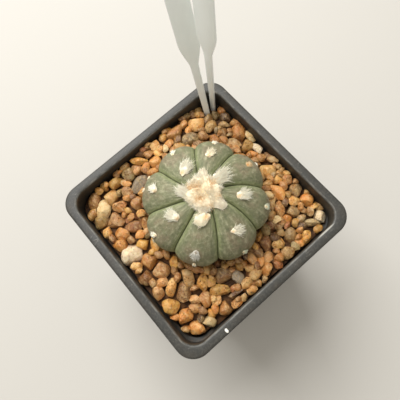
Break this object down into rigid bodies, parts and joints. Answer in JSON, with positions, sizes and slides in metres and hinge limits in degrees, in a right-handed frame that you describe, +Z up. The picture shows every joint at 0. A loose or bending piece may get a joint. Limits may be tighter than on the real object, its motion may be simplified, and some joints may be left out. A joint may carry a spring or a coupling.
{
  "type": "potted star cactus",
  "caption": "Spineless ribbed star cactus with woolly tufts and crown in a square plastic nursery pot topped with tan gravel, with slim plant labels in one corner.",
  "frame": {"origin": "middle of the pot's foot, on the surface that the pot stands on", "axes": "+Z up through the pot, X and Y along its sides, with the labels in the +X +Y corner"},
  "size_m": [0.07, 0.0835, 0.1197],
  "materials": {
    "pot_plastic": "satin",
    "potting_mix": "matte",
    "tan_gravel": "satin",
    "cactus_skin": "matte",
    "wool": "matte",
    "label_plastic": "satin"
  },
  "bodies": {
    "root": {"pot": "pot_plastic", "soil": "potting_mix", "gravel": "tan_gravel", "cactus": "cactus_skin", "crown_wool": "wool", "label_left": "label_plastic", "label_right": "label_plastic"}
  },
  "joints": []
}
